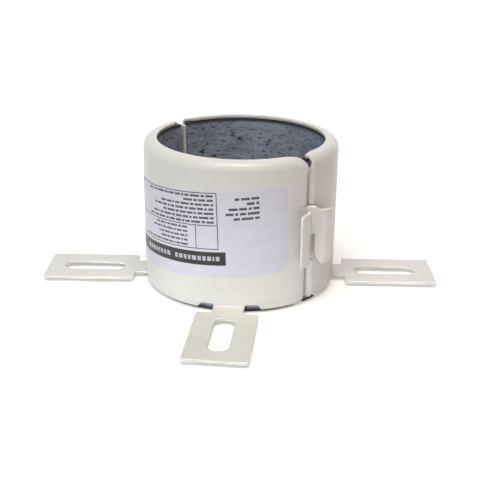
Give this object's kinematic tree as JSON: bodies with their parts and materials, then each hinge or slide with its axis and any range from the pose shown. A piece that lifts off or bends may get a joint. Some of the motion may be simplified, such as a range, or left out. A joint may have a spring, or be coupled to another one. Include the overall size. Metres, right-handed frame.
{
  "type": "pipe fire collar",
  "caption": "Round split pipe fire collar of coated sheet steel, with a heat-swelling liner inside, hooked seams and slotted fixing tabs round its foot.",
  "frame": {"origin": "on the pipe's axis, level with the lower ends of the liners, which the collar rests on", "axes": "+Z along the pipe, away from the slab; the seams lie at -46.5 and 133.5 degrees from +X, and the front half faces -X and -Y"},
  "size_m": [0.1348, 0.1358, 0.05],
  "materials": {
    "coated_steel": "satin",
    "graphite_liner": "matte",
    "label_film": "satin"
  },
  "bodies": {
    "rear_half": {"rear_shell": "coated_steel", "rear_liner": "graphite_liner"},
    "front_half": {"front_shell": "coated_steel", "front_liner": "graphite_liner", "label": "label_film"}
  },
  "joints": [
    {"name": "front_lift", "type": "slide", "parent": "rear_half", "child": "front_half", "axis": [0, 0, 1], "range_m": [0, 0.012]}
  ]
}
